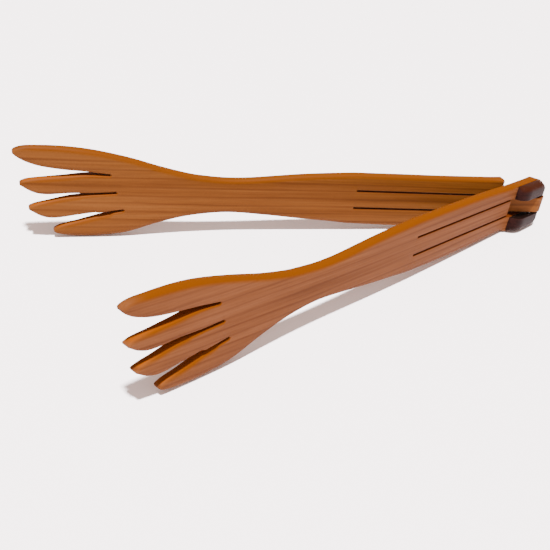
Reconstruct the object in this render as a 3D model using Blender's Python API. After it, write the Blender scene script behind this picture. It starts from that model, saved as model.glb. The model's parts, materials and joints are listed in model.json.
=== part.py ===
"""Spring loaded wooden kitchen tongs: two cherry hands that cross in a sawn, interleaved walnut hinge.

Each arm is one flat board with a four-fingered hand at one end. Two saw kerfs split its handle into
three strips. In the back arm the middle strip runs on through the hinge as its centre knuckle and the
outer two stop short. In the front arm the outer two run on, with walnut cheeks glued to them, and the
middle one stops short. A hidden pin joins the knuckles. The short strips lean on the other arm, and all
six bend when the handles are squeezed, so they are the spring. Each set that bends together is a body
of its own, hinged at the roots of the kerfs.

Each board is drawn in its own coordinates, in millimetres: u runs from the line where the two arms
cross towards the fingertips, v is up across the board, and w is inward, towards the other arm.
"""
from math import ceil, cos, hypot, pi, radians, sin, sqrt, tan

import bmesh
import bpy
from mathutils import Matrix, Vector
from mathutils.geometry import delaunay_2d_cdt

MM = 0.001

# Driving dimensions, in mm and degrees.
THICKNESS = 5.6            # both boards
OPENING = 30.8             # angle between the arms at rest
STAND_TILT = 2.22          # the hands are deeper than the handles, so the hinge line leans back
STAND_ROLL = -0.67         # and sideways, to rest on both hands
HANDLE_TOP = 13.9
HANDLE_BOTTOM = -15.0
KERF_CENTRE = 4.8          # height of each saw kerf above and below the board's axis
KERF_WIDTH = 1.0
KERF_ROOT = 102.0          # where the kerfs end, on the front arm
BACK_ARM_SHIFT = 3.9       # the back arm's hand and kerfs lie this much closer to the hinge
HAND_BOW = 5.0             # how far the fingertips curve inward
BOW_START = 92.5
BOW_LENGTH = 176.0
BACK_HAND_RISE = 0.9       # the hands are not quite at one height
FRONT_HAND_RISE = -0.7
RISE_START, RISE_LENGTH = 175.0, 50.0
BACK_STRIP_RISE = 0.7      # nor are the outer edges of the back arm's short strips
EDGE_RADIUS = 2.4          # outer edges, nearly fully round
SLOT_RADIUS = 1.0          # edges at the roots of the finger slots
EASED_EDGE = 0.25          # sawn edges, only just broken
TIP_THINNING = 0.22        # share of the thickness lost at a fingertip, all from inside
TIP_LENGTH = 34.0          # the length over which it is lost
GAP = 0.3                  # between touching pieces

# The hinge. Its lengths are measured beyond the line where the arms cross.
PIVOT_REACH = 10.6         # the pin, along the back arm
PIN_RADIUS = 1.2
PIN_HALF_LENGTH = 10.0
KNUCKLE_TURN = 12.2        # where the front of the centre knuckle starts to round off
KNUCKLE_END = 18.2
CHEEK_START = -8.2         # the cheeks start before the arms cross
CHEEK_TURN = 13.9          # where the hinge's round end starts
CHEEK_DEPTH = 6.4          # walnut in front of the front arm
CHEEK_TOP = 12.9
CHEEK_BOTTOM = -13.5
CHEEK_EDGE_RADIUS = 3.0
SHOULDER = 0.8             # the front arm's strips swell this much under the cheeks
SHOULDER_START, SHOULDER_LENGTH = -10.6, 2.4
END_CORNER = 2.4           # radius of the corners of the back arm's short strips
LONG_END_CORNER = (8.0, 2.2)  # length and height of the corners of the front arm's long strips
HINGE_NARROWING = 1.1      # the front arm's edges draw in this much towards the hinge
NARROWING_LENGTH = 50.0

# Mesh steps.
POINT_SPACING = 3.5
GRID_SPACING = 8.0
CHEEK_SPACING = 4.0
EDGE_STEPS = 2
ROUND_SEGMENTS = 24

# Worked out from the dimensions above.
HALF = THICKNESS / 2
STRIP_INNER = KERF_CENTRE - KERF_WIDTH / 2
STRIP_OUTER = KERF_CENTRE + KERF_WIDTH / 2
BACK_KERF_ROOT = KERF_ROOT - BACK_ARM_SHIFT
REST = radians(OPENING)
END_RADIUS = (CHEEK_DEPTH + THICKNESS) / 2
HINGE_END = CHEEK_TURN + END_RADIUS
BACK_SHORT_END = (THICKNESS + GAP) / sin(REST)                 # the inner corners of the short
FRONT_SHORT_END = THICKNESS / tan(REST) + GAP / sin(REST)      # strips' ends touch the other arm

# The hand's outline, clockwise from the top of the handle: one smooth curve per finger, tips and
# slots included. Each curve ends at the root of a slot, where the next one starts.
FINGER_CURVES = (
    ((104, 13.7), (118, 12.9), (132, 11.9), (146, 10.5), (159, 9.2), (171, 8.8), (182, 9.4), (191, 10.4),
     (205, 13.2), (220, 16.9), (236, 20.0), (250, 21.4), (263.5, 21.4), (269.5, 20.3), (271.8, 18.6),
     (270.6, 16.6), (265.8, 13.6), (259, 11.5), (248, 10.2), (237, 9.9), (228.3, 9.1)),
    ((228.3, 8.3), (240, 8.5), (250, 7.4), (260, 6.2), (266.2, 4.9), (268.3, 3.3), (267, 1.8),
     (262, -1.2), (256, -2.2), (246, -1.3), (224.9, 0.3)),
    ((224.9, -0.6), (237, -1.5), (246, -2.6), (256, -5.2), (262.2, -7.3), (264.0, -8.9), (262.4, -10.5),
     (257, -13.5), (250, -13.8), (238, -11.7), (220.9, -8.6)),
    ((220.9, -9.5), (230, -11.6), (241, -15.0), (248, -17.2), (251.4, -18.9), (252.4, -20.3),
     (251.2, -21.6), (247, -22.7), (240, -23.2), (230, -22.6), (217.5, -20.7), (203, -15.5), (188, -11.3),
     (170, -9.2), (150, -10.3), (130, -12.1), (115, -13.2), (104, -14.2)),
)
FINGERTIPS = ((271.8, 18.6), (268.3, 3.3), (264.0, -8.9), (252.4, -20.3))
SLOT_RADIUS_FROM, SLOT_RADIUS_TO = 232.0, 248.0   # the slots' edges grow rounder between these
SLOT_END = 0.4             # how far a slot's rounded end reaches past its sides
TAPER_START, TAPER_LENGTH = 70.0, 40.0            # of the handle, towards the hand


def smoothstep(x):
    x = min(max(x, 0.0), 1.0)
    return x * x * (3 - 2 * x)


def bow(u):
    """How far inward the board has curved at u."""
    return HAND_BOW * (max(u - BOW_START, 0.0) / BOW_LENGTH) ** 2


def handle_edge(side, u):
    """Height of the handle's upper (side 1) or lower (side -1) edge."""
    full, taper = (HANDLE_TOP, 0.2) if side > 0 else (HANDLE_BOTTOM, 0.8)
    return full - side * taper * smoothstep((u - TAPER_START) / TAPER_LENGTH)


def straight(start, end, spacing=GRID_SPACING):
    """Points from start to end, both included."""
    start, end = Vector(start), Vector(end)
    steps = max(1, round((end - start).length / spacing))
    return [start.lerp(end, i / steps) for i in range(steps + 1)]


def arc(centre, radii, first, last, steps=5):
    """Points on an ellipse, from the first to the last angle in degrees."""
    angles = [radians(first + (last - first) * i / steps) for i in range(steps + 1)]
    return [Vector((centre[0] + radii[0] * cos(a), centre[1] + radii[1] * sin(a))) for a in angles]


def curve_through(points):
    """A Catmull-Rom curve through the points."""
    ends = [2 * Vector(points[0]) - Vector(points[1]), 2 * Vector(points[-1]) - Vector(points[-2])]
    knots = [ends[0]] + [Vector(p) for p in points] + [ends[1]]
    samples = []
    for a, b, c, d in zip(knots, knots[1:], knots[2:], knots[3:]):
        steps = max(2, ceil((c - b).length / POINT_SPACING))
        for i in range(steps):
            t = i / steps
            samples.append(0.5 * (2 * b + (c - a) * t + (2 * a - 5 * b + 4 * c - d) * t ** 2
                                  + (3 * b - a - 3 * c + d) * t ** 3))
    return samples + [Vector(points[-1])]


def tip_closeness(point):
    """0 away from the fingertips, 1 at one."""
    return max(1 - hypot(point.x - u, point.y - v) / TIP_LENGTH for u, v in FINGERTIPS)


def hand_radius(point):
    """Edge radius round the hand: smaller round the fingertips and at the slot roots."""
    radius = EDGE_RADIUS * (1 - 0.5 * smoothstep(3 * tip_closeness(point) - 2))
    slot_heights = [curve[-1][1] - SLOT_END for curve in FINGER_CURVES[:-1]]
    if point.x > SLOT_RADIUS_FROM - 15 and min(abs(point.y - v) for v in slot_heights) < 1.8:
        opened = smoothstep((point.x - SLOT_RADIUS_FROM) / (SLOT_RADIUS_TO - SLOT_RADIUS_FROM))
        radius = min(radius, SLOT_RADIUS + (EDGE_RADIUS - SLOT_RADIUS) * opened)
    return radius


# A run is a stretch of outline: its points, each with its edge radius on the low and the high face.

def edge_run(points, low=EDGE_RADIUS, high=EDGE_RADIUS):
    return [(p, low, high) for p in points]


def sawn_run(points):
    return edge_run(points, EASED_EDGE, EASED_EDGE)


def hand_run(shift):
    """The hand and waist, from the handle's top edge round to its bottom edge."""
    points = []
    for curve, following in zip(FINGER_CURVES, FINGER_CURVES[1:] + (None,)):
        points += curve_through(curve)
        if following:
            points.append((Vector(curve[-1]) + Vector(following[0])) / 2 - Vector((SLOT_END, 0)))
    return [(p - Vector((shift, 0)), hand_radius(p), hand_radius(p)) for p in points]


def inset_outline(runs):
    """Each outline point with its two radii and the direction straight into the piece."""
    outline = []
    for run in runs:
        for i, (point, low, high) in enumerate(run):
            before = run[max(i - 1, 0)][0]
            after = run[min(i + 1, len(run) - 1)][0]
            along = (after - before).normalized()
            outline.append([point, low, high, Vector((along.y, -along.x))])
    while ease_tight_turns(outline):
        pass
    return outline


def ease_tight_turns(outline):
    """Shrink the radii where rounding would fold the outline over itself; say whether any shrank."""
    shrunk = False
    for i, this in enumerate(outline):
        following = outline[(i + 1) % len(outline)]
        step = following[0] - this[0]
        for face in (1, 2):
            moved = step + following[3] * following[face] - this[3] * this[face]
            if moved.dot(step) < 0.15 * step.length_squared and max(this[face], following[face]) > 0.1:
                this[face] *= 0.8
                following[face] *= 0.8
                shrunk = True
    return shrunk


def inside(point, polygon, clearance):
    """Whether the point is in the polygon and at least clearance from its edge."""
    crossings = 0
    for a, b in zip(polygon, polygon[1:] + polygon[:1]):
        edge = b - a
        t = min(max((point - a).dot(edge) / max(edge.length_squared, 1e-12), 0.0), 1.0)
        if (a + t * edge - point).length < clearance:
            return False
        if (a.y > point.y) != (b.y > point.y):
            crossings += point.x < a.x + edge.x * (point.y - a.y) / edge.y
    return crossings % 2 == 1


def face_triangles(ring, spacing):
    """Triangles over the face inside the ring, and a grid of points in them so that it can curve."""
    low = Vector((min(p.x for p in ring), min(p.y for p in ring)))
    high = Vector((max(p.x for p in ring), max(p.y for p in ring)))
    grid = []
    for i in range(int((high.x - low.x) / spacing)):
        for j in range(int((high.y - low.y) / spacing)):
            point = low + spacing * Vector((i + 0.5, j + 0.5))
            if inside(point, ring, 0.3 * spacing):
                grid.append(point)
    _, _, faces, originals, _, _ = delaunay_2d_cdt(ring + grid, [], [list(range(len(ring)))], 1, 1e-5)
    return [[originals[i][0] for i in face] for face in faces], grid


def slab(runs, low, high, place, spacing=GRID_SPACING):
    """A closed solid: an outline's runs, its two face heights as functions, and where its points go."""
    outline = inset_outline(runs)
    bm = bmesh.new()
    stack = []
    for face, level, outward in ((1, low, -1), (2, high, 1)):
        rings = []
        for step in range(EDGE_STEPS + 1):
            angle = pi / 2 * step / EDGE_STEPS
            flat = [entry[0] + entry[3] * entry[face] * (1 - cos(angle)) for entry in outline]
            heights = [level(entry[0]) - outward * entry[face] * (1 - sin(angle)) for entry in outline]
            rings.append([bm.verts.new(place(p, h)) for p, h in zip(flat, heights)])
        triangles, grid = face_triangles(flat, spacing)
        verts = rings[-1] + [bm.verts.new(place(p, level(p))) for p in grid]
        for triangle in triangles:
            bm.faces.new([verts[i] for i in triangle])
        stack = rings[::-1] if outward < 0 else stack + rings
    for ring, above in zip(stack, stack[1:]):
        for i in range(len(ring)):
            j = (i + 1) % len(ring)
            bm.faces.new((ring[i], ring[j], above[j], above[i]))
    bmesh.ops.triangulate(bm, faces=bm.faces[:])
    bmesh.ops.recalc_face_normals(bm, faces=bm.faces[:])
    return bm


def board_axes(side):
    """Unit vectors along u and w of the back arm (side 1) or the front arm (side -1)."""
    along = Vector((-cos(REST / 2), side * sin(REST / 2), 0))
    inward = Vector((-sin(REST / 2), -side * cos(REST / 2), 0))
    return along, inward


BACK_ALONG, BACK_INWARD = board_axes(1)
FRONT_ALONG, FRONT_INWARD = board_axes(-1)
PIVOT = -PIVOT_REACH * BACK_ALONG - HALF * BACK_INWARD


def on_back(u, v, w):
    """A place on the back arm, measured from the pivot: its straight inner face is at w = 0."""
    return (u * BACK_ALONG + w * BACK_INWARD + Vector((0, 0, v)) - PIVOT) * MM


def on_front(u, v, w):
    """A place on the front arm, measured from the pivot: its straight outer face is at w = 0."""
    return (u * FRONT_ALONG + w * FRONT_INWARD + Vector((0, 0, v)) - PIVOT) * MM


def flat_low(p):
    return -HALF


def flat_high(p):
    return HALF


def arm_mesh(shift, rise, place_board):
    """The board from the kerf roots to the fingertips, its hand raised by the rise."""
    root = KERF_ROOT - shift + GAP / 2
    top, bottom = (edge_run([Vector((root, handle_edge(side, root + shift)))]) for side in (1, -1))
    sawn = sawn_run(straight((root, HANDLE_BOTTOM + 5), (root, HANDLE_TOP - 5), 4))

    def thinned(p):
        return HALF - THICKNESS * TIP_THINNING * smoothstep(tip_closeness(p + Vector((shift, 0))))

    def place(p, t):
        u = p.x + shift
        return place_board(p.x, p.y + rise * smoothstep((u - RISE_START) / RISE_LENGTH), bow(u), t)
    return slab([top + hand_run(shift) + bottom, sawn], flat_low, thinned, place)


def back_arm_mesh():
    return arm_mesh(BACK_ARM_SHIFT, BACK_HAND_RISE, lambda u, v, bend, t: on_back(u, v, bend - HALF + t))


def front_arm_mesh():
    return arm_mesh(0.0, FRONT_HAND_RISE, lambda u, v, bend, t: on_front(u, v, bend + HALF + t))


def centre_knuckle_mesh():
    """The back arm's long middle strip. Past the pin its front rounds off with the cheeks."""
    root = BACK_KERF_ROOT - GAP / 2

    def place(p, t):
        w = t - HALF
        if p.x < -KNUCKLE_TURN:
            turned = (-p.x - KNUCKLE_TURN) / (KNUCKLE_END - KNUCKLE_TURN)
            w = -THICKNESS + (w + THICKNESS) * max(sqrt(max(1 - turned ** 2, 0)), 0.12)
        return on_back(p.x, p.y, w)
    outline = (straight((-KNUCKLE_END, STRIP_INNER), (root, STRIP_INNER), CHEEK_SPACING / 2)
               + straight((root, -STRIP_INNER), (-KNUCKLE_END, -STRIP_INNER), CHEEK_SPACING / 2))
    return slab([sawn_run(outline)], flat_low, flat_high, place, CHEEK_SPACING)


def back_short_strip_mesh(side):
    """An outer strip of the back arm. It is cut square and leans on the front arm's inner face."""
    root, end = BACK_KERF_ROOT - GAP / 2, BACK_SHORT_END

    def edge(u):
        return abs(handle_edge(side, u + BACK_ARM_SHIFT)) + side * BACK_STRIP_RISE * smoothstep(1 - u / 60)
    height = edge(end)
    outer = arc((end + END_CORNER, height - END_CORNER), (END_CORNER, END_CORNER), 180, 90, 4)
    outer += [Vector((p.x, edge(p.x))) for p in straight((end + 9, 0), (root, 0))]
    sawn = [Vector((root, height - 4))] + straight((root, STRIP_OUTER), (end, STRIP_OUTER))
    return slab([edge_run(outer), sawn_run(sawn)], flat_low, flat_high,
                lambda p, t: on_back(p.x, side * p.y, t - HALF))


def front_short_strip_mesh():
    """The middle strip of the front arm. It is cut square and leans on the centre knuckle's strip."""
    root, end = KERF_ROOT - GAP / 2, FRONT_SHORT_END
    outline = (straight((end, STRIP_INNER), (root, STRIP_INNER))
               + straight((root, -STRIP_INNER), (end, -STRIP_INNER)))
    return slab([sawn_run(outline)], flat_low, flat_high, lambda p, t: on_front(p.x, p.y, t + HALF))


def shoulder(u):
    """How far the front arm's long strips have swollen at u, to meet the cheeks."""
    return SHOULDER * smoothstep((-SHOULDER_START - u) / SHOULDER_LENGTH)


def front_long_strip_mesh(side):
    """An outer strip of the front arm, with a shoulder to the cheek and half of the round end."""
    root = KERF_ROOT - GAP / 2

    def edge(u):
        return abs(handle_edge(side, u)) - HINGE_NARROWING * smoothstep(1 - u / NARROWING_LENGTH)

    def under_cheek(u):
        return smoothstep((u + CHEEK_START) / 3)

    corner = arc((LONG_END_CORNER[0] - HINGE_END, edge(0) - LONG_END_CORNER[1]), LONG_END_CORNER, 180, 90)
    before = straight((-9, 0), (-SHOULDER_START - SHOULDER_LENGTH, 0), 5)
    across = straight((-SHOULDER_START - SHOULDER_LENGTH, 0), (-SHOULDER_START + 1.2, 0), 0.6)
    beyond = straight((-SHOULDER_START + 1.2, 0), (root, 0))
    stations = [p.x for p in before[:-1] + across[:-1] + beyond]
    outer = [(p, EASED_EDGE, EASED_EDGE + (EDGE_RADIUS - EASED_EDGE) * i / 5) for i, p in enumerate(corner)]
    outer += [(Vector((u, edge(u))), EASED_EDGE + (EDGE_RADIUS - EASED_EDGE) * under_cheek(u), EDGE_RADIUS)
              for u in stations]
    sawn = [Vector((u, STRIP_OUTER)) for u in [root] + stations[-2::-1] + [-15, -HINGE_END]]

    def place(p, t):
        u, w = p.x, t + HALF
        if u < -CHEEK_TURN:
            across = (w - THICKNESS + END_RADIUS) / END_RADIUS
            u = -CHEEK_TURN + (u + CHEEK_TURN) * max(sqrt(max(1 - across ** 2, 0)), 0.25)
        return on_front(u, side * p.y, w)
    return slab([outer, sawn_run(sawn)], lambda p: -HALF - shoulder(p.x), flat_high, place)


def cheek_mesh(side):
    """A walnut cheek: drawn in plan (u, w) and built up from the kerf to the outer edge."""
    glue = -SHOULDER - GAP
    start = arc((0, glue), (-CHEEK_START, CHEEK_DEPTH + glue), 0, -90, 7)
    end = arc((-CHEEK_TURN, END_RADIUS - CHEEK_DEPTH), (END_RADIUS, END_RADIUS), 270, 190, 8)
    front = straight((-3, -CHEEK_DEPTH), (3 - CHEEK_TURN, -CHEEK_DEPTH), CHEEK_SPACING)
    glued = straight((1 - HINGE_END, glue), (-CHEEK_START - 1, glue), CHEEK_SPACING)
    height = CHEEK_TOP if side > 0 else -CHEEK_BOTTOM
    shown = [(p, EASED_EDGE, min(EASED_EDGE + 1.2 * max(glue - p.y, 0), CHEEK_EDGE_RADIUS))
             for p in start + front + end]
    return slab([shown, sawn_run(glued)],
                lambda p: STRIP_OUTER, lambda p: height,
                lambda p, v: on_front(p.x, side * v, min(p.y, glue)), CHEEK_SPACING)


def rod(radius, half_length):
    bm = bmesh.new()
    bmesh.ops.create_cone(bm, cap_ends=True, segments=ROUND_SEGMENTS, radius1=radius * MM,
                          radius2=radius * MM, depth=2 * half_length * MM)
    return bm


def principled(name, colour, roughness, metallic=0.0):
    material = bpy.data.materials.new(name)
    material.use_nodes = True
    shader = material.node_tree.nodes["Principled BSDF"]
    shader.inputs["Base Color"].default_value = colour
    shader.inputs["Roughness"].default_value = roughness
    shader.inputs["Metallic"].default_value = metallic
    return material


def add_piece(name, bm, material, origin, parent):
    """Make the object, with its origin at a point on its joint's axis."""
    bmesh.ops.translate(bm, verts=bm.verts[:], vec=-origin)
    mesh = bpy.data.meshes.new(name)
    bm.to_mesh(mesh)
    bm.free()
    mesh.shade_smooth()
    mesh.set_sharp_from_angle(angle=radians(40))
    mesh.materials.append(material)
    piece = bpy.data.objects.new(name, mesh)
    piece.location = origin
    piece.parent = parent
    bpy.context.collection.objects.link(piece)
    return piece


def drill(piece, cutter):
    hole = piece.modifiers.new("pin_hole", 'BOOLEAN')
    hole.operation = 'DIFFERENCE'
    hole.solver = 'EXACT'
    hole.object = cutter


def stand_on_floor(tongs, pieces):
    """Stand the tongs on z = 0, centred on the origin."""
    turn = Matrix.Rotation(radians(STAND_ROLL), 3, 'X') @ Matrix.Rotation(radians(STAND_TILT), 3, 'Y')
    corners = [turn @ (piece.location + v.co) for piece in pieces for v in piece.data.vertices]
    low = Vector([min(c[i] for c in corners) for i in range(3)])
    high = Vector([max(c[i] for c in corners) for i in range(3)])
    tongs.rotation_euler = turn.to_euler()
    tongs.location = (-(low.x + high.x) / 2, -(low.y + high.y) / 2, -low.z)


def build():
    for leftover in list(bpy.data.objects):
        bpy.data.objects.remove(leftover, do_unlink=True)

    cherry = principled("cherry", (0.34, 0.13, 0.05, 1), 0.42)
    walnut = principled("walnut", (0.06, 0.03, 0.022, 1), 0.4)
    steel = principled("steel", (0.6, 0.6, 0.6, 1), 0.3, 1.0)

    tongs = bpy.data.objects.new("tongs", None)
    bpy.context.collection.objects.link(tongs)
    pivot = Vector((0, 0, 0))
    back_root = on_back(BACK_KERF_ROOT, 0, -HALF)
    front_root = on_front(KERF_ROOT, 0, HALF)
    pieces = [
        add_piece("back_arm", back_arm_mesh(), cherry, back_root, tongs),
        add_piece("front_arm", front_arm_mesh(), cherry, front_root, tongs),
        add_piece("front_short_strip", front_short_strip_mesh(), cherry, front_root, tongs),
    ]

    cutter = add_piece("pin_hole_cutter", rod(PIN_RADIUS + GAP, PIN_HALF_LENGTH + GAP), steel, pivot, tongs)
    cutter.hide_render = True
    cutter.display_type = 'WIRE'
    drilled = [add_piece("centre_knuckle_strip", centre_knuckle_mesh(), cherry, back_root, tongs)]
    for side, where in ((1, "upper"), (-1, "lower")):
        short_strip = back_short_strip_mesh(side)
        pieces.append(add_piece(f"back_short_strip_{where}", short_strip, cherry, back_root, tongs))
        long_strip = front_long_strip_mesh(side)
        pieces.append(add_piece(f"front_long_strip_{where}", long_strip, cherry, pivot, tongs))
        drilled.append(add_piece(f"walnut_cheek_{where}", cheek_mesh(side), walnut, pivot, tongs))
    for piece in drilled:
        drill(piece, cutter)
    add_piece("pivot_pin", rod(PIN_RADIUS, PIN_HALF_LENGTH), steel, pivot, tongs)
    stand_on_floor(tongs, pieces + drilled)


build()
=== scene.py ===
"""Sprung wooden tongs: two forked arms with their bending strips, the hinge, the woods and the studio.

Each arm is drawn in board coordinates, in mm: u from the line where the arms cross towards the
fingertips, v up, w inward. Its hand and its three strips are separate pieces that meet at the roots of
the saw cuts, where the strips start to bend.
"""
from math import ceil, cos, hypot, pi, radians, sin, sqrt, tan
import json

import bmesh
import bpy
from mathutils import Matrix, Vector
from mathutils.geometry import delaunay_2d_cdt
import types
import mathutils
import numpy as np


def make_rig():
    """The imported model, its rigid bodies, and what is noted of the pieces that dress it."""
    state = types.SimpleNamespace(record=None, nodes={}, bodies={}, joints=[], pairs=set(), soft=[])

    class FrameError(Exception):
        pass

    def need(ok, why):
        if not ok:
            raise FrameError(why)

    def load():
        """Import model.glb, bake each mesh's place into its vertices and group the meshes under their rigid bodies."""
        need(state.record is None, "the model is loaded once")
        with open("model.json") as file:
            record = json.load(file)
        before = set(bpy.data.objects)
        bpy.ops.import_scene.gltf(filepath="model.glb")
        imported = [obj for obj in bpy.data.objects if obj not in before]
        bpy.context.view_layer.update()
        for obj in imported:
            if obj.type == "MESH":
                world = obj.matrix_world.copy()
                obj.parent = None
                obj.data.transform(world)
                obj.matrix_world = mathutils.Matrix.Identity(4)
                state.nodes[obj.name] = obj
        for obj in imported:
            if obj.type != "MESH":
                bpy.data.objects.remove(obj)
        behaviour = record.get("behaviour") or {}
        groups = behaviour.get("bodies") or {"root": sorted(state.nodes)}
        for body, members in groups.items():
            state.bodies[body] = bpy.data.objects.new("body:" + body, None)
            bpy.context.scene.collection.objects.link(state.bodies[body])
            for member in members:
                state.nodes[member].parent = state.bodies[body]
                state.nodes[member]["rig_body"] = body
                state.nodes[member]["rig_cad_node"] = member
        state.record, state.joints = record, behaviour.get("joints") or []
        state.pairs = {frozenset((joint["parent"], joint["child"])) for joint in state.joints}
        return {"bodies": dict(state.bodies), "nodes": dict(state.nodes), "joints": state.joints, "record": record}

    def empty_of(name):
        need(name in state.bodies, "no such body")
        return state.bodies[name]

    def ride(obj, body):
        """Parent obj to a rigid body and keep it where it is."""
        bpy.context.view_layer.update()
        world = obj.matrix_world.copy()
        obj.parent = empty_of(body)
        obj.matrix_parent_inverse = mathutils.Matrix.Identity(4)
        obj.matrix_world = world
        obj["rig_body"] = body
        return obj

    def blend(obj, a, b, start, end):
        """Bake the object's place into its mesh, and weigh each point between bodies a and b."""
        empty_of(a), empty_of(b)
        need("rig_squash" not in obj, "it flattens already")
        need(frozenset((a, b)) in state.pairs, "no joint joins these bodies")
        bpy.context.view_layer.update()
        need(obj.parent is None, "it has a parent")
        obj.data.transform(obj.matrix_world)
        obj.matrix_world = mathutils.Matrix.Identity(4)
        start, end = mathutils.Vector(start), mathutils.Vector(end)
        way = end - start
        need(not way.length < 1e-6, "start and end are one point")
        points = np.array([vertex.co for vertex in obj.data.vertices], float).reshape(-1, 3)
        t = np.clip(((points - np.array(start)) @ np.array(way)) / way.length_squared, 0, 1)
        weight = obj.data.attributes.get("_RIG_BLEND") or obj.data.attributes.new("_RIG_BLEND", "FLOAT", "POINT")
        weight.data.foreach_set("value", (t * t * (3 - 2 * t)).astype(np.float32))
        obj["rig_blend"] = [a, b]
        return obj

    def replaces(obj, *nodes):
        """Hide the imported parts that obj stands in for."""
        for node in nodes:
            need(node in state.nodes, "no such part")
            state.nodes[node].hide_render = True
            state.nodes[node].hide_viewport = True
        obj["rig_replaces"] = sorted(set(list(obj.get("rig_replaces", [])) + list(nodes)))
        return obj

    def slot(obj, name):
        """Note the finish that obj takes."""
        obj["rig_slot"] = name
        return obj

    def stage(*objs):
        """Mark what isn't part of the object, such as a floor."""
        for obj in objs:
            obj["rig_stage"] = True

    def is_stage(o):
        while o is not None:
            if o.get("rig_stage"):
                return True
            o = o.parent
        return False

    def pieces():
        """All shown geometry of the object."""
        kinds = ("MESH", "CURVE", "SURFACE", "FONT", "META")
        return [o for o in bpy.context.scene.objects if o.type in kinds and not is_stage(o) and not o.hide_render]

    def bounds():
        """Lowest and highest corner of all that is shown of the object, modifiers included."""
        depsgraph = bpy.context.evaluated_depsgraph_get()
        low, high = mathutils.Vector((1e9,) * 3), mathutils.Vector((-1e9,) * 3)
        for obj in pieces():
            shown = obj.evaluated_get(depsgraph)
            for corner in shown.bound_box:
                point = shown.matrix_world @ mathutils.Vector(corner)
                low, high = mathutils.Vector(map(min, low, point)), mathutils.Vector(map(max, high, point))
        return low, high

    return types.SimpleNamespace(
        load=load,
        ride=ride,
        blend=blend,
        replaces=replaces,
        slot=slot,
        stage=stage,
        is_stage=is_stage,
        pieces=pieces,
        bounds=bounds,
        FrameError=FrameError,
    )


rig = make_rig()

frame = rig.load()
cad_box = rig.bounds()

MM = 0.001

# Driving dimensions, in mm and degrees.
THICKNESS = 5.6            # both boards
OPENING = 30.8             # angle between the arms at rest
STAND_TILT = 2.22          # the hands are deeper than the handles, so the hinge line leans back
STAND_ROLL = -0.67         # and sideways, to rest on both hands
HANDLE_TOP = 13.9
HANDLE_BOTTOM = -15.0
KERF_CENTRE = 4.8          # height of each saw kerf above and below the board's axis
KERF_WIDTH = 1.0
KERF_ROOT = 102.0          # where the kerfs end, on the front arm
BACK_ARM_SHIFT = 3.9       # the back arm's hand and kerfs lie this much closer to the hinge
HAND_BOW = 5.0             # how far the fingertips curve inward
BOW_START = 92.5
BOW_LENGTH = 176.0
BACK_HAND_RISE = 0.9       # the hands are not quite at one height
FRONT_HAND_RISE = -0.7
RISE_START, RISE_LENGTH = 175.0, 50.0
BACK_STRIP_RISE = 0.7      # nor are the outer edges of the back arm's short strips
EDGE_RADIUS = 2.4          # outer edges, nearly fully round
SLOT_RADIUS = 1.0          # edges at the roots of the finger slots
EASED_EDGE = 0.25          # sawn edges, only just broken
TIP_THINNING = 0.22        # share of the thickness lost at a fingertip, all from inside
TIP_LENGTH = 34.0          # the length over which it is lost
TIP_ROUNDING = 0.5         # share of the edge radius lost there
GAP = 0.3                  # between touching pieces

# The hinge. Its lengths are measured beyond the line where the arms cross.
PIVOT_REACH = 10.6         # the pin, along the back arm
PIN_RADIUS = 1.2
PIN_HALF_LENGTH = 10.0
KNUCKLE_TURN = 12.2        # where the front of the centre knuckle starts to round off
KNUCKLE_END = 18.2
CHEEK_START = -8.2         # the cheeks start before the arms cross
CHEEK_TURN = 13.9          # where the hinge's round end starts
CHEEK_DEPTH = 6.4          # walnut in front of the front arm
CHEEK_TOP = 12.9
CHEEK_BOTTOM = -13.5
CHEEK_EDGE_RADIUS = 3.0
CHEEK_END_DROP = 1.6       # how far the cheeks' tops fall at the round end
SHOULDER = 0.8             # the front arm's strips swell this much under the cheeks
SHOULDER_START, SHOULDER_LENGTH = -10.6, 2.4
END_CORNER = 2.4           # radius of the corners of the back arm's short strips
LONG_END_CORNER = (8.0, 2.2)   # length and height of the corners of the front arm's long strips
HINGE_NARROWING = 1.1      # the front arm's edges draw in this much towards the hinge
NARROWING_LENGTH = 50.0

# Mesh steps.
POINT_SPACING = 1.7
GRID_SPACING = 5.0
CHEEK_SPACING = 1.5
EDGE_STEPS = 5
ROUND_SEGMENTS = 32
WELD = 0.004
SHARP_ANGLE = 38.0         # edges sharper than this are not shaded smooth

# Worked out from the dimensions above.
HALF = THICKNESS / 2
STRIP_INNER = KERF_CENTRE - KERF_WIDTH / 2
STRIP_OUTER = KERF_CENTRE + KERF_WIDTH / 2
BACK_KERF_ROOT = KERF_ROOT - BACK_ARM_SHIFT
REST = radians(OPENING)
END_RADIUS = (CHEEK_DEPTH + THICKNESS) / 2
HINGE_END = CHEEK_TURN + END_RADIUS
BACK_SHORT_END = (THICKNESS + GAP) / sin(REST)                 # the inner corners of the short
FRONT_SHORT_END = THICKNESS / tan(REST) + GAP / sin(REST)      # strips' ends touch the other arm

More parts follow.
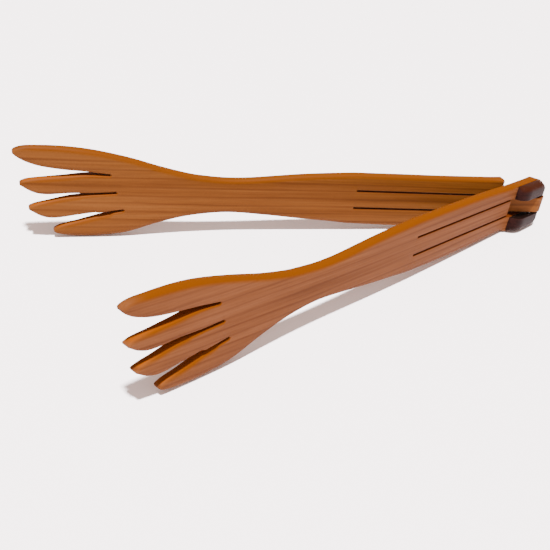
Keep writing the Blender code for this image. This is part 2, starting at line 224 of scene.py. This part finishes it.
# The hand's outline, clockwise from the top of the handle: one smooth curve per finger, tips and
# slots included. Each curve ends at the root of a slot, where the next one starts.
FINGER_CURVES = (
    ((104, 13.7), (118, 12.9), (132, 11.9), (146, 10.5), (159, 9.2), (171, 8.8), (182, 9.4), (191, 10.4),
     (205, 13.2), (220, 16.9), (236, 20.0), (250, 21.4), (263.5, 21.4), (269.5, 20.3), (271.8, 18.6),
     (270.6, 16.6), (265.8, 13.6), (259, 11.5), (248, 10.2), (237, 9.9), (228.3, 9.1)),
    ((228.3, 8.3), (240, 8.5), (250, 7.4), (260, 6.2), (266.2, 4.9), (268.3, 3.3), (267, 1.8),
     (262, -1.2), (256, -2.2), (246, -1.3), (224.9, 0.3)),
    ((224.9, -0.6), (237, -1.5), (246, -2.6), (256, -5.2), (262.2, -7.3), (264.0, -8.9), (262.4, -10.5),
     (257, -13.5), (250, -13.8), (238, -11.7), (220.9, -8.6)),
    ((220.9, -9.5), (230, -11.6), (241, -15.0), (248, -17.2), (251.4, -18.9), (252.4, -20.3),
     (251.2, -21.6), (247, -22.7), (240, -23.2), (230, -22.6), (217.5, -20.7), (203, -15.5), (188, -11.3),
     (170, -9.2), (150, -10.3), (130, -12.1), (115, -13.2), (104, -14.2)),
)
FINGERTIPS = ((271.8, 18.6), (268.3, 3.3), (264.0, -8.9), (252.4, -20.3))
SLOT_RADIUS_FROM, SLOT_RADIUS_TO = 232.0, 248.0   # the slots' edges grow rounder between these
SLOT_END = 0.4             # how far a slot's rounded end reaches past its sides
SLOT_REACH = 15.0          # the smaller radius starts this far before the slots
SLOT_HALF_HEIGHT = 1.8     # and this far above and below their roots
TAPER_START, TAPER_LENGTH = 70.0, 40.0            # of the handle, towards the hand


def smoothstep(x):
    x = min(max(x, 0.0), 1.0)
    return x * x * (3 - 2 * x)


def bow(u):
    """How far inward the board has curved at u."""
    return HAND_BOW * (max(u - BOW_START, 0.0) / BOW_LENGTH) ** 2


def handle_edge(side, u):
    """Height of the handle's upper (side 1) or lower (side -1) edge."""
    full, taper = (HANDLE_TOP, 0.2) if side > 0 else (HANDLE_BOTTOM, 0.8)
    return full - side * taper * smoothstep((u - TAPER_START) / TAPER_LENGTH)


def straight(start, end, spacing=GRID_SPACING):
    """Points from start to end, both included."""
    start, end = Vector(start), Vector(end)
    steps = max(1, round((end - start).length / spacing))
    return [start.lerp(end, i / steps) for i in range(steps + 1)]


def arc(centre, radii, first, last, steps=12):
    """Points on an ellipse, from the first to the last angle in degrees."""
    angles = [radians(first + (last - first) * i / steps) for i in range(steps + 1)]
    return [Vector((centre[0] + radii[0] * cos(a), centre[1] + radii[1] * sin(a))) for a in angles]


def curve_through(points):
    """A Catmull-Rom curve through the points."""
    ends = [2 * Vector(points[0]) - Vector(points[1]), 2 * Vector(points[-1]) - Vector(points[-2])]
    knots = [ends[0]] + [Vector(p) for p in points] + [ends[1]]
    samples = []
    for a, b, c, d in zip(knots, knots[1:], knots[2:], knots[3:]):
        steps = max(2, ceil((c - b).length / POINT_SPACING))
        for i in range(steps):
            t = i / steps
            samples.append(0.5 * (2 * b + (c - a) * t + (2 * a - 5 * b + 4 * c - d) * t ** 2
                                  + (3 * b - a - 3 * c + d) * t ** 3))
    return samples + [Vector(points[-1])]


def tip_closeness(point):
    """0 away from the fingertips, 1 at one."""
    return max(1 - hypot(point.x - u, point.y - v) / TIP_LENGTH for u, v in FINGERTIPS)


def hand_radius(point):
    """Edge radius round the hand: smaller round the fingertips and at the slot roots."""
    radius = EDGE_RADIUS * (1 - TIP_ROUNDING * smoothstep(3 * tip_closeness(point) - 2))
    slot_heights = [curve[-1][1] - SLOT_END for curve in FINGER_CURVES[:-1]]
    near_slot = min(abs(point.y - v) for v in slot_heights) < SLOT_HALF_HEIGHT
    if point.x > SLOT_RADIUS_FROM - SLOT_REACH and near_slot:
        opened = smoothstep((point.x - SLOT_RADIUS_FROM) / (SLOT_RADIUS_TO - SLOT_RADIUS_FROM))
        radius = min(radius, SLOT_RADIUS + (EDGE_RADIUS - SLOT_RADIUS) * opened)
    return radius


# A run is a stretch of outline: its points, each with its edge radius on the low and the high face.

def edge_run(points, low=EDGE_RADIUS, high=EDGE_RADIUS):
    return [(p, low, high) for p in points]


def sawn_run(points):
    return edge_run(points, EASED_EDGE, EASED_EDGE)


def hand_run(shift):
    """The hand and waist, from the handle's top edge round to its bottom edge."""
    points = []
    for curve, following in zip(FINGER_CURVES, FINGER_CURVES[1:] + (None,)):
        points += curve_through(curve)
        if following:
            points.append((Vector(curve[-1]) + Vector(following[0])) / 2 - Vector((SLOT_END, 0)))
    return [(p - Vector((shift, 0)), hand_radius(p), hand_radius(p)) for p in points]


def inset_outline(runs):
    """Each outline point with its two radii and the direction straight into the piece."""
    outline = []
    for run in runs:
        for i, (point, low, high) in enumerate(run):
            before = run[max(i - 1, 0)][0]
            after = run[min(i + 1, len(run) - 1)][0]
            along = (after - before).normalized()
            outline.append([point, low, high, Vector((along.y, -along.x))])
    while ease_tight_turns(outline):
        pass
    return outline


def ease_tight_turns(outline):
    """Shrink the radii where rounding would fold the outline over itself; say whether any shrank."""
    shrunk = False
    for i, this in enumerate(outline):
        following = outline[(i + 1) % len(outline)]
        step = following[0] - this[0]
        for face in (1, 2):
            moved = step + following[3] * following[face] - this[3] * this[face]
            if moved.dot(step) < 0.15 * step.length_squared and max(this[face], following[face]) > 0.1:
                this[face] *= 0.8
                following[face] *= 0.8
                shrunk = True
    return shrunk


def inside(point, polygon, clearance):
    """Whether the point is in the polygon and at least clearance from its edge."""
    crossings = 0
    for a, b in zip(polygon, polygon[1:] + polygon[:1]):
        edge = b - a
        t = min(max((point - a).dot(edge) / max(edge.length_squared, 1e-12), 0.0), 1.0)
        if (a + t * edge - point).length < clearance:
            return False
        if (a.y > point.y) != (b.y > point.y):
            crossings += point.x < a.x + edge.x * (point.y - a.y) / edge.y
    return crossings % 2 == 1


def face_triangles(ring, spacing):
    """Triangles over the face inside the ring, and a grid of points in them so that it can curve."""
    low = Vector((min(p.x for p in ring), min(p.y for p in ring)))
    high = Vector((max(p.x for p in ring), max(p.y for p in ring)))
    grid = []
    for i in range(int((high.x - low.x) / spacing)):
        for j in range(int((high.y - low.y) / spacing)):
            point = low + spacing * Vector((i + 0.5, j + 0.5))
            if inside(point, ring, 0.3 * spacing):
                grid.append(point)
    _, _, faces, originals, _, _ = delaunay_2d_cdt(ring + grid, [], [list(range(len(ring)))], 1, 1e-5)
    return [[originals[i][0] for i in face] for face in faces], grid


def slab(runs, low, high, place, spacing=GRID_SPACING):
    """A closed solid: an outline's runs, its two face heights as functions, and where its points go."""
    outline = inset_outline(runs)
    bm = bmesh.new()
    stack = []
    for face, level, outward in ((1, low, -1), (2, high, 1)):
        rings = []
        for step in range(EDGE_STEPS + 1):
            angle = pi / 2 * step / EDGE_STEPS
            flat = [entry[0] + entry[3] * entry[face] * (1 - cos(angle)) for entry in outline]
            heights = [level(entry[0]) - outward * entry[face] * (1 - sin(angle)) for entry in outline]
            rings.append([bm.verts.new(place(p, h)) for p, h in zip(flat, heights)])
        triangles, grid = face_triangles(flat, spacing)
        verts = rings[-1] + [bm.verts.new(place(p, level(p))) for p in grid]
        for triangle in triangles:
            bm.faces.new([verts[i] for i in triangle])
        stack = rings[::-1] if outward < 0 else stack + rings
    for ring, above in zip(stack, stack[1:]):
        for i in range(len(ring)):
            j = (i + 1) % len(ring)
            bm.faces.new((ring[i], ring[j], above[j], above[i]))
    bmesh.ops.triangulate(bm, faces=bm.faces[:])
    bmesh.ops.recalc_face_normals(bm, faces=bm.faces[:])
    return bm


TONGS = (Matrix.Translation(Vector(next(j for j in frame["record"]["behaviour"]["joints"]
                                       if j["name"] == "pivot")["pos_m"]))
         @ Matrix.Rotation(radians(STAND_ROLL), 4, 'X') @ Matrix.Rotation(radians(STAND_TILT), 4, 'Y'))


def board_axes(side):
    """Unit vectors along u and w of the back arm (side 1) or the front arm (side -1)."""
    along = Vector((-cos(REST / 2), side * sin(REST / 2), 0))
    inward = Vector((-sin(REST / 2), -side * cos(REST / 2), 0))
    return along, inward


BACK_ALONG, BACK_INWARD = board_axes(1)
FRONT_ALONG, FRONT_INWARD = board_axes(-1)
PIVOT = -PIVOT_REACH * BACK_ALONG - HALF * BACK_INWARD


def on_back(u, v, w):
    """A place on the back arm, in the row frame: its straight inner face is at w = 0."""
    return TONGS @ ((u * BACK_ALONG + w * BACK_INWARD + Vector((0, 0, v)) - PIVOT) * MM)


def on_front(u, v, w):
    """A place on the front arm, in the row frame: its straight outer face is at w = 0."""
    return TONGS @ ((u * FRONT_ALONG + w * FRONT_INWARD + Vector((0, 0, v)) - PIVOT) * MM)


def flat_low(p):
    return -HALF


def flat_high(p):
    return HALF


def arm_mesh(shift, rise, place_board):
    """The board from the kerf roots to the fingertips, its hand raised by the rise."""
    root = KERF_ROOT - shift
    top, bottom = (edge_run([Vector((root, handle_edge(side, root + shift)))]) for side in (1, -1))
    sawn = edge_run(straight((root, HANDLE_BOTTOM + 5), (root, HANDLE_TOP - 5), 2), 0, 0)

    def thinned(p):
        return HALF - THICKNESS * TIP_THINNING * smoothstep(tip_closeness(p + Vector((shift, 0))))

    def place(p, t):
        u = p.x + shift
        return place_board(p.x, p.y + rise * smoothstep((u - RISE_START) / RISE_LENGTH), bow(u), t)
    return slab([top + hand_run(shift) + bottom, sawn], flat_low, thinned, place)


def back_arm_mesh():
    return arm_mesh(BACK_ARM_SHIFT, BACK_HAND_RISE, lambda u, v, bend, t: on_back(u, v, bend - HALF + t))


def front_arm_mesh():
    return arm_mesh(0.0, FRONT_HAND_RISE, lambda u, v, bend, t: on_front(u, v, bend + HALF + t))


def centre_knuckle_mesh():
    """The back arm's long middle strip. Past the pin its front rounds off with the cheeks."""
    root = BACK_KERF_ROOT

    def place(p, t):
        w = t - HALF
        if p.x < -KNUCKLE_TURN:
            turned = (-p.x - KNUCKLE_TURN) / (KNUCKLE_END - KNUCKLE_TURN)
            w = -THICKNESS + (w + THICKNESS) * max(sqrt(max(1 - turned ** 2, 0)), 0.12)
        return on_back(p.x, p.y, w)
    walls = [sawn_run(straight((-KNUCKLE_END, STRIP_INNER), (root, STRIP_INNER), CHEEK_SPACING / 2)),
             sawn_run(straight((root, -STRIP_INNER), (-KNUCKLE_END, -STRIP_INNER), CHEEK_SPACING / 2))]
    return slab(walls, flat_low, flat_high, place, CHEEK_SPACING)


def back_short_strip_mesh(side):
    """An outer strip of the back arm. It is cut square and leans on the front arm's inner face."""
    root, end = BACK_KERF_ROOT, BACK_SHORT_END

    def edge(u):
        return abs(handle_edge(side, u + BACK_ARM_SHIFT)) + side * BACK_STRIP_RISE * smoothstep(1 - u / 60)
    height = edge(end)
    outer = arc((end + END_CORNER, height - END_CORNER), (END_CORNER, END_CORNER), 180, 90, 8)
    outer += [Vector((p.x, edge(p.x))) for p in straight((end + 9, 0), (root, 0))]
    sawn = straight((root, STRIP_OUTER), (end, STRIP_OUTER))
    return slab([edge_run(outer), sawn_run(sawn)], flat_low, flat_high,
                lambda p, t: on_back(p.x, side * p.y, t - HALF))


def front_short_strip_mesh():
    """The middle strip of the front arm. It is cut square and leans on the centre knuckle's strip."""
    root, end = KERF_ROOT, FRONT_SHORT_END
    walls = [sawn_run(straight((end, STRIP_INNER), (root, STRIP_INNER))),
             sawn_run(straight((root, -STRIP_INNER), (end, -STRIP_INNER)))]
    return slab(walls, flat_low, flat_high, lambda p, t: on_front(p.x, p.y, t + HALF))


def shoulder(u):
    """How far the front arm's long strips have swollen at u, to meet the cheeks."""
    return SHOULDER * smoothstep((-SHOULDER_START - u) / SHOULDER_LENGTH)


def front_long_strip_mesh(side):
    """An outer strip of the front arm, with a shoulder to the cheek and half of the round end."""
    root = KERF_ROOT

    def edge(u):
        return abs(handle_edge(side, u)) - HINGE_NARROWING * smoothstep(1 - u / NARROWING_LENGTH)

    def under_cheek(u):
        return smoothstep((u + CHEEK_START) / 3)

    corner = arc((LONG_END_CORNER[0] - HINGE_END, edge(0) - LONG_END_CORNER[1]), LONG_END_CORNER, 180, 90)
    before = straight((-9, 0), (-SHOULDER_START - SHOULDER_LENGTH, 0), 5)
    across = straight((-SHOULDER_START - SHOULDER_LENGTH, 0), (-SHOULDER_START + 1.2, 0), 0.6)
    beyond = straight((-SHOULDER_START + 1.2, 0), (root, 0))
    stations = [p.x for p in before[:-1] + across[:-1] + beyond]
    opened = [EASED_EDGE + (EDGE_RADIUS - EASED_EDGE) * i / (len(corner) - 1) for i in range(len(corner))]
    outer = [(p, EASED_EDGE, radius) for p, radius in zip(corner, opened)]
    outer += [(Vector((u, edge(u))), EASED_EDGE + (EDGE_RADIUS - EASED_EDGE) * under_cheek(u), EDGE_RADIUS)
              for u in stations]
    sawn = [Vector((u, STRIP_OUTER)) for u in [root] + stations[-2::-1] + [-15, -HINGE_END]]

    def place(p, t):
        u, w = p.x, t + HALF
        if u < -CHEEK_TURN:
            across = (w - THICKNESS + END_RADIUS) / END_RADIUS
            u = -CHEEK_TURN + (u + CHEEK_TURN) * max(sqrt(max(1 - across ** 2, 0)), 0.25)
        return on_front(u, side * p.y, w)
    return slab([outer, sawn_run(sawn)], lambda p: -HALF - shoulder(p.x), flat_high, place)


def cheek_mesh(side):
    """A walnut cheek: drawn in plan (u, w) and built up from the kerf to the outer edge."""
    glue = -SHOULDER - GAP
    start = arc((0, glue), (-CHEEK_START, CHEEK_DEPTH + glue), 0, -90, 14)
    end = arc((-CHEEK_TURN, END_RADIUS - CHEEK_DEPTH), (END_RADIUS, END_RADIUS), 270, 190, 16)
    front = straight((-3, -CHEEK_DEPTH), (3 - CHEEK_TURN, -CHEEK_DEPTH), CHEEK_SPACING)
    glued = straight((1 - HINGE_END, glue), (-CHEEK_START - 1, glue), CHEEK_SPACING)
    height = CHEEK_TOP if side > 0 else -CHEEK_BOTTOM
    shown = [(p, EASED_EDGE, min(EASED_EDGE + 1.2 * max(glue - p.y, 0), CHEEK_EDGE_RADIUS))
             for p in start + front + end]
    return slab([shown, sawn_run(glued)],
                lambda p: STRIP_OUTER,
                lambda p: height - CHEEK_END_DROP * smoothstep((-p.x - CHEEK_TURN + 2) / END_RADIUS),
                lambda p, v: on_front(p.x, side * v, min(p.y, glue)), CHEEK_SPACING)


# The woods. Every wooden piece carries its board coordinates, so the grain runs on through it.

def link(tree, output, socket):
    tree.links.new(output, socket)


def node(tree, kind, **values):
    """A shader node, with its properties and its input sockets' values set by name."""
    made = tree.nodes.new(kind)
    for name, value in values.items():
        if name in made.inputs:
            made.inputs[name].default_value = value
        else:
            setattr(made, name, value)
    return made


def ramp(tree, factor, stops):
    made = tree.nodes.new("ShaderNodeValToRGB")
    made.color_ramp.elements[0].position, made.color_ramp.elements[0].color = stops[0]
    made.color_ramp.elements[1].position, made.color_ramp.elements[1].color = stops[-1]
    for position, colour in stops[1:-1]:
        made.color_ramp.elements.new(position).color = colour
    link(tree, factor, made.inputs["Fac"])
    return made.outputs["Color"]


def mixed(tree, factor, first, second, blend='MIX'):
    made = tree.nodes.new("ShaderNodeMix")
    made.data_type, made.blend_type = 'RGBA', blend
    for socket, value in ((made.inputs[0], factor), (made.inputs[6], first), (made.inputs[7], second)):
        if isinstance(value, bpy.types.NodeSocket):
            link(tree, value, socket)
        else:
            socket.default_value = value
    return made.outputs[2]


def stretched(tree, scale, shift=(0, 0, 0)):
    """Board coordinates in mm, scaled along, up and through the board."""
    grain = node(tree, "ShaderNodeAttribute", attribute_name="grain")
    mapping = node(tree, "ShaderNodeMapping")
    mapping.inputs["Scale"].default_value = scale
    mapping.inputs["Location"].default_value = shift
    link(tree, grain.outputs["Vector"], mapping.inputs["Vector"])
    return mapping.outputs["Vector"]


def noise(tree, scale, detail=4.0, distortion=0.0, shift=(0, 0, 0)):
    made = node(tree, "ShaderNodeTexNoise", Scale=1.0, Detail=detail, Distortion=distortion)
    link(tree, stretched(tree, scale, shift), made.inputs["Vector"])
    return made.outputs["Fac"]


def wood(name, dark, middle, light, edge, painted_slot_light, sawn, roughness, sheen):
    """Straight-grained wood: growth bands, streaks, pores, painted light on up-facing edges and slot walls, and
    painted shade in the saw cuts.
    """
    material = bpy.data.materials.new(name)
    material.use_nodes = True
    tree = material.node_tree
    shader = tree.nodes["Principled BSDF"]
    shader.inputs["Roughness"].default_value = roughness
    shader.inputs["Specular IOR Level"].default_value = sheen

    bands = noise(tree, (0.006, 0.22, 0.16), 3.0, 0.6)
    streaks = noise(tree, (0.02, 1.1, 0.9), 5.0, 0.3, (3, 1, 0))
    pores = noise(tree, (0.12, 5.0, 5.0), 2.0)
    colour = ramp(tree, bands, [(0.30, dark), (0.50, middle), (0.70, light)])
    streaked = ramp(tree, streaks, [(0.3, (0.78, 0.74, 0.72, 1)), (0.65, (1.05, 1.05, 1.05, 1))])
    colour = mixed(tree, 0.75, colour, streaked, 'MULTIPLY')
    pored = ramp(tree, pores, [(0.3, (0.82, 0.8, 0.78, 1)), (0.5, (1, 1, 1, 1))])
    colour = mixed(tree, 0.45, colour, pored, 'MULTIPLY')
    lines = node(tree, "ShaderNodeTexWave", Scale=1.0, Distortion=2.6, Detail=2.0)
    lines.bands_direction = 'Y'
    lines.inputs["Detail Scale"].default_value = 1.4
    link(tree, stretched(tree, (0.006, 0.075, 0.03)), lines.inputs["Vector"])
    lined = ramp(tree, lines.outputs["Fac"], [(0.0, (0.66, 0.60, 0.56, 1)), (0.22, (1, 1, 1, 1))])
    colour = mixed(tree, 0.65, colour, lined, 'MULTIPLY')
    painted_light_shade = node(tree, "ShaderNodeAttribute", attribute_name="painted_light_shade")
    parts = tree.nodes.new("ShaderNodeSeparateXYZ")
    link(tree, painted_light_shade.outputs["Vector"], parts.inputs["Vector"])
    # Painted light on up-facing corners, painted light on up-facing slot walls, then painted shade in the saw cuts.
    colour = mixed(tree, parts.outputs["X"], colour, edge)
    colour = mixed(tree, parts.outputs["Z"], colour, painted_slot_light)
    colour = mixed(tree, parts.outputs["Y"], colour, sawn)
    link(tree, colour, shader.inputs["Base Color"])
    bump = node(tree, "ShaderNodeBump", Strength=0.12, Distance=0.0002)
    link(tree, pores, bump.inputs["Height"])
    link(tree, bump.outputs["Normal"], shader.inputs["Normal"])
    return material


# Two boards of one wood: the back arm's is the warmer.
# Painted light and shade on the cherry: orange painted light where edges face up, a brighter orange painted light on
# the slots' up-facing walls, lifted against the shadow of the finger above, and a dark brown painted shade on the saw
# cuts' walls.
PAINTED_TOP_LIGHT = (0.086, 0.0205, 0.0, 1)
PAINTED_SLOT_LIGHT = (0.135, 0.0300, 0.0003, 1)
PAINTED_KERF_SHADE = (0.054, 0.0110, 0.0012, 1)
BACK_CHERRY = wood("cherry_warm", (0.076, 0.0225, 0.0036, 1), (0.100, 0.0320, 0.0060, 1),
                   (0.117, 0.0400, 0.0088, 1), PAINTED_TOP_LIGHT, PAINTED_SLOT_LIGHT, PAINTED_KERF_SHADE, 0.55, 0.04)
FRONT_CHERRY = wood("cherry_rose", (0.080, 0.0260, 0.0085, 1), (0.104, 0.0355, 0.0125, 1),
                    (0.120, 0.0430, 0.0165, 1), PAINTED_TOP_LIGHT, PAINTED_SLOT_LIGHT, PAINTED_KERF_SHADE, 0.58, 0.02)
# The walnut's painted light where edges and slot walls face up, and its painted shade on the saw cuts' walls.
WALNUT_PAINTED_TOP_LIGHT = (0.0190, 0.0042, 0.0015, 1)
WALNUT_PAINTED_SLOT_LIGHT = (0.01, 0.003, 0.0015, 1)
WALNUT_PAINTED_KERF_SHADE = (0.004, 0.0015, 0.001, 1)
WALNUT = wood("walnut_oiled", (0.0080, 0.0020, 0.0014, 1), (0.0140, 0.0038, 0.0030, 1),
              (0.0210, 0.0062, 0.0050, 1), WALNUT_PAINTED_TOP_LIGHT, WALNUT_PAINTED_SLOT_LIGHT, WALNUT_PAINTED_KERF_SHADE, 0.5, 0.03)
STEEL = bpy.data.materials.new("steel_pin")
STEEL.use_nodes = True
STEEL.node_tree.nodes["Principled BSDF"].inputs["Metallic"].default_value = 1.0
STEEL.node_tree.nodes["Principled BSDF"].inputs["Roughness"].default_value = 0.3


def cut_pin_hole(piece):
    """Drills the hinge pin's hole, with its running clearance."""
    bm = bmesh.new()
    bmesh.ops.create_cone(bm, cap_ends=True, segments=ROUND_SEGMENTS, radius1=(PIN_RADIUS + GAP) * MM,
                          radius2=(PIN_RADIUS + GAP) * MM, depth=2 * (PIN_HALF_LENGTH + GAP) * MM)
    bm.transform(TONGS)
    mesh = bpy.data.meshes.new("pin_hole_cutter")
    bm.to_mesh(mesh)
    bm.free()
    cutter = bpy.data.objects.new("pin_hole_cutter", mesh)
    bpy.context.collection.objects.link(cutter)
    drill = piece.modifiers.new("pin_hole", 'BOOLEAN')
    drill.operation, drill.solver, drill.object = 'DIFFERENCE', 'EXACT', cutter
    bpy.context.view_layer.update()
    drilled = bpy.data.meshes.new_from_object(piece.evaluated_get(bpy.context.evaluated_depsgraph_get()))
    piece.modifiers.clear()
    piece.data = drilled
    bpy.data.objects.remove(cutter)


BACK, FRONT = 1, -1
TIP_FADE = 0.75            # share of the edges' painted top light lost at a fingertip
SLOTS_FROM, SLOTS_BLEND = 212.0, 12.0   # where the slots' up-facing walls take their painted light


def mark_wood(mesh, board, offset):
    """Stores the board coordinates at each point, and at each corner its painted light and shade.

    These say how far the corner faces up, for painted light on upward faces; whether it is in a saw cut, for painted
    shade there; and whether it is on an up-facing slot wall, for painted light there.
    """
    along, inward = board_axes(board)
    shift = BACK_ARM_SHIFT if board == BACK else 0.0
    to_board = TONGS.inverted()
    up = TONGS.to_3x3() @ Vector((0, 0, 1))
    grain = mesh.attributes.new("grain", 'FLOAT_VECTOR', 'POINT')
    places = [to_board @ vertex.co / MM + PIVOT for vertex in mesh.vertices]
    for i, place in enumerate(places):
        grain.data[i].vector = (place.dot(along) + offset, place.z, place.dot(inward) + offset)
    painted_light_shade = mesh.attributes.new("painted_light_shade", 'FLOAT_VECTOR', 'CORNER')
    for face in mesh.polygons:
        centre = sum((places[i] for i in face.vertices), Vector()) / len(face.vertices)
        beside_kerf = abs(abs(centre.z) - KERF_CENTRE) < KERF_WIDTH * 0.8 and centre.dot(along) < KERF_ROOT
        # Painted shade on the walls of the saw cuts.
        sawn = 1.0 if beside_kerf and abs(face.normal.dot(up)) > 0.6 else 0.0
        for corner in face.loop_indices:
            place = places[mesh.loops[corner].vertex_index]
            u = place.dot(along)
            rising = mesh.corner_normals[corner].vector.dot(up)
            # Painted light on corners that face up, faded towards the fingertips, and on the slots' up-facing walls.
            at_tip = smoothstep(3 * tip_closeness(Vector((u + shift, place.z))) - 2)
            edge = smoothstep((rising - 0.05) / 0.45) * (1 - TIP_FADE * at_tip)
            wall = smoothstep((rising - 0.65) / 0.3)
            in_slot = smoothstep((u - SLOTS_FROM) / SLOTS_BLEND) * smoothstep((slot_ceiling(u) - place.z) / 2)
            painted_light_shade.data[corner].vector = (edge, sawn, wall * in_slot)


def slot_ceiling(u):
    """Height at u that parts the first finger's outer edge from what lies in the slots below it."""
    return 12.0 + 3.0 * smoothstep((u - 240) / 30)


def wooden(name, bm, board, material, slot, node_name, offset=0.0, holed=False):
    """Makes the piece, in the row frame, in place of its CAD node."""
    bmesh.ops.remove_doubles(bm, verts=bm.verts[:], dist=WELD * MM)
    bmesh.ops.dissolve_degenerate(bm, edges=bm.edges[:], dist=WELD * MM)
    mesh = bpy.data.meshes.new(name)
    bm.to_mesh(mesh)
    bm.free()
    piece = bpy.data.objects.new(name, mesh)
    bpy.context.collection.objects.link(piece)
    if holed:
        cut_pin_hole(piece)
    piece.data.materials.clear()
    piece.data.materials.append(material)
    piece.data.shade_smooth()
    piece.data.set_sharp_from_angle(angle=radians(SHARP_ANGLE))
    mark_wood(piece.data, board, offset)
    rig.replaces(piece, node_name)
    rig.slot(piece, slot)
    return piece


BACK_GRAIN, FRONT_GRAIN = 0.0, 400.0   # the two boards are cut from different places
CHEEK_GRAIN, CHEEK_GRAIN_STEP = 200, 50   # and so are the two cheeks
BEND = 45.0                # the strips bend over this length from the kerf roots


def bend(piece, arm, strip, on_board, root, middle):
    """The strip grows out of its arm and bends over to its own body's angle."""
    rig.blend(piece, arm, strip, on_board(root, 0, middle), on_board(root - BEND, 0, middle))


hand = wooden("back_hand", back_arm_mesh(), BACK, BACK_CHERRY, "cherry", "back_arm", BACK_GRAIN)
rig.ride(hand, "back_arm")
hand = wooden("front_hand", front_arm_mesh(), FRONT, FRONT_CHERRY, "cherry", "front_arm", FRONT_GRAIN)
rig.ride(hand, "front_arm")

strip = wooden("knuckle_strip", centre_knuckle_mesh(), BACK, BACK_CHERRY, "cherry", "centre_knuckle_strip",
               BACK_GRAIN, holed=True)
bend(strip, "back_arm", "back_knuckle", on_back, BACK_KERF_ROOT, -HALF)
strip = wooden("front_spring_strip", front_short_strip_mesh(), FRONT, FRONT_CHERRY, "cherry",
               "front_short_strip", FRONT_GRAIN)
bend(strip, "front_arm", "front_spring", on_front, KERF_ROOT, HALF)
for side, where in ((1, "upper"), (-1, "lower")):
    strip = wooden(f"back_spring_strip_{where}", back_short_strip_mesh(side), BACK, BACK_CHERRY, "cherry",
                   f"back_short_strip_{where}", BACK_GRAIN)
    bend(strip, "back_arm", "back_springs", on_back, BACK_KERF_ROOT, -HALF)
    strip = wooden(f"hinge_strip_{where}", front_long_strip_mesh(side), FRONT, FRONT_CHERRY, "cherry",
                   f"front_long_strip_{where}", FRONT_GRAIN)
    bend(strip, "front_arm", "front_knuckle", on_front, KERF_ROOT, HALF)
    cheek = wooden(f"cheek_{where}", cheek_mesh(side), FRONT, WALNUT, "walnut", f"walnut_cheek_{where}",
                   CHEEK_GRAIN + CHEEK_GRAIN_STEP * side, holed=True)
    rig.ride(cheek, "front_knuckle")
frame["nodes"]["pivot_pin"].data.materials.clear()
frame["nodes"]["pivot_pin"].data.materials.append(STEEL)


# The studio: a pale floor, soft light and the camera. Lengths here are in metres.

FLOOR_SIZE = 60.0
FLOOR_HEIGHT = -0.0003
FLOOR_COLOUR = (1.0, 0.905, 0.920, 1)
FLOOR_ROUGHNESS = 0.9
WORLD_COLOUR = (1.0, 0.82, 0.73, 1)
WORLD_STRENGTH = 0.9
KEY_SHINES = (0.19, 0.25, -1.0)
KEY_STRENGTH, KEY_SPREAD = 16.0, 4.0
KEY_COLOUR = (0.985, 1, 1)
FILL_PLACE, FILL_TARGET = (-0.7, -0.8, 0.6), (0, 0, 0.02)
FILL_SIZE, FILL_POWER = 0.9, 0.8
FILL_COLOUR = (1, 0.985, 0.97)
CAMERA_PLACE = (-0.2376, -0.2826, 0.1950)
CAMERA_LOOK = (0.5100, 0.7048, -0.4932)
CAMERA_UP = (0.1646, 0.4828, 0.8601)
LENS = 55.55


def area_light(name, place, target, size, power, colour):
    data = bpy.data.lights.new(name, 'AREA')
    data.shape, data.size, data.energy, data.color = 'DISK', size, power, colour
    lamp = bpy.data.objects.new(name, data)
    lamp.location = place
    lamp.rotation_euler = (Vector(target) - Vector(place)).to_track_quat('-Z', 'Y').to_euler()
    bpy.context.collection.objects.link(lamp)


def studio():
    bpy.ops.mesh.primitive_plane_add(size=FLOOR_SIZE, location=(0, 0, FLOOR_HEIGHT))
    floor = bpy.context.object
    floor.name = "floor"
    paper = bpy.data.materials.new("paper")
    paper.use_nodes = True
    shader = paper.node_tree.nodes["Principled BSDF"]
    shader.inputs["Base Color"].default_value = FLOOR_COLOUR
    shader.inputs["Roughness"].default_value = FLOOR_ROUGHNESS
    floor.data.materials.append(paper)
    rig.stage(floor)
    world = bpy.data.worlds.new("studio")
    bpy.context.scene.world = world
    world.use_nodes = True
    background = world.node_tree.nodes["Background"]
    background.inputs["Color"].default_value = WORLD_COLOUR
    background.inputs["Strength"].default_value = WORLD_STRENGTH
    sun = bpy.data.lights.new("key", 'SUN')
    sun.energy, sun.angle, sun.color = KEY_STRENGTH, radians(KEY_SPREAD), KEY_COLOUR
    key = bpy.data.objects.new("key", sun)
    key.rotation_euler = Vector(KEY_SHINES).to_track_quat('-Z', 'Y').to_euler()
    bpy.context.collection.objects.link(key)
    area_light("fill", FILL_PLACE, FILL_TARGET, FILL_SIZE, FILL_POWER, FILL_COLOUR)


def camera():
    data = bpy.data.cameras.new("camera")
    data.lens, data.sensor_width, data.clip_start = LENS, 36.0, 0.01
    seen = bpy.data.objects.new("camera", data)
    look, up = Vector(CAMERA_LOOK).normalized(), Vector(CAMERA_UP)
    right = look.cross(up).normalized()
    turned = Matrix((right, right.cross(look), -look)).transposed().to_4x4()
    turned.translation = CAMERA_PLACE
    seen.matrix_world = turned
    bpy.context.collection.objects.link(seen)
    bpy.context.scene.camera = seen


studio()
camera()
with open("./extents.json", "w") as out:
    json.dump({"cad": [list(corner) for corner in cad_box],
               "visual": [list(corner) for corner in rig.bounds()]}, out)
